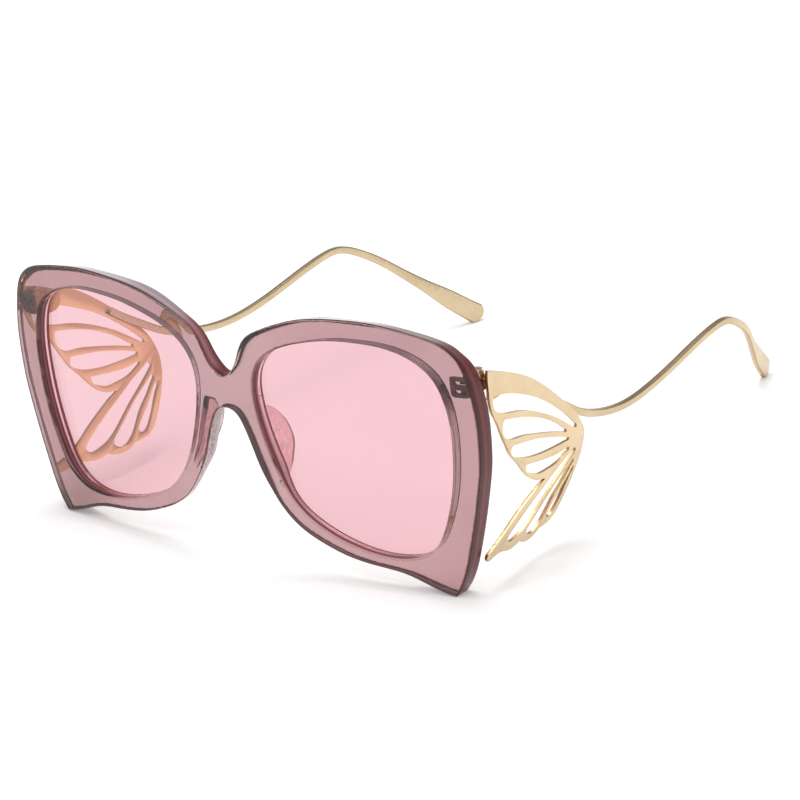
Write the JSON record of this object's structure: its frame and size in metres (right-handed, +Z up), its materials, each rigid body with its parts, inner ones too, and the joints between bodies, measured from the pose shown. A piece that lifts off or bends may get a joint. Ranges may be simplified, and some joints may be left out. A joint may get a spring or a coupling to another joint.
{
  "type": "butterfly sunglasses",
  "caption": "Oversized translucent mauve sunglasses with pink lenses, pierced gold butterfly-wing temples and waved gold rods that fold inward on screwed hinges",
  "frame": {"origin": "middle of the bounding box, on the plane that the two lower tips of the front and the two temple ends rest on", "axes": "+X to the wearer's left, -Y the way the lenses face, +Z up"},
  "size_m": [0.1476, 0.154, 0.0685],
  "materials": {
    "frame_plastic": "polished translucent acetate, mauve with reddish dark edges",
    "lens_tint": "clear polished pink tint",
    "pad_clear": "clear polished",
    "hinge_metal": "satin gold plate",
    "screw_metal": "gold plated steel",
    "wing_gold": "satin gold plate",
    "rod_gold": "polished gold plate"
  },
  "bodies": {
    "front": {"front_frame": "frame_plastic", "left_lens": "lens_tint", "left_nose_pad": "pad_clear", "left_front_hinge": "hinge_metal", "left_hinge_screw": "screw_metal", "right_lens": "lens_tint", "right_nose_pad": "pad_clear", "right_front_hinge": "hinge_metal", "right_hinge_screw": "screw_metal"},
    "left_temple": {"left_temple_hinge": "hinge_metal", "left_temple_wing": "wing_gold", "left_temple_rod": "rod_gold"},
    "right_temple": {"right_temple_hinge": "hinge_metal", "right_temple_wing": "wing_gold", "right_temple_rod": "rod_gold"}
  },
  "joints": [
    {"name": "left_temple_fold", "type": "hinge", "parent": "front", "child": "left_temple", "pos_m": [0.0696, -0.06355, 0.0539], "axis": [0, 0, 1], "range_deg": [0, 65]},
    {"name": "right_temple_fold", "type": "hinge", "parent": "front", "child": "right_temple", "pos_m": [-0.0696, -0.06355, 0.0539], "axis": [0, 0, -1], "range_deg": [0, 54]}
  ]
}
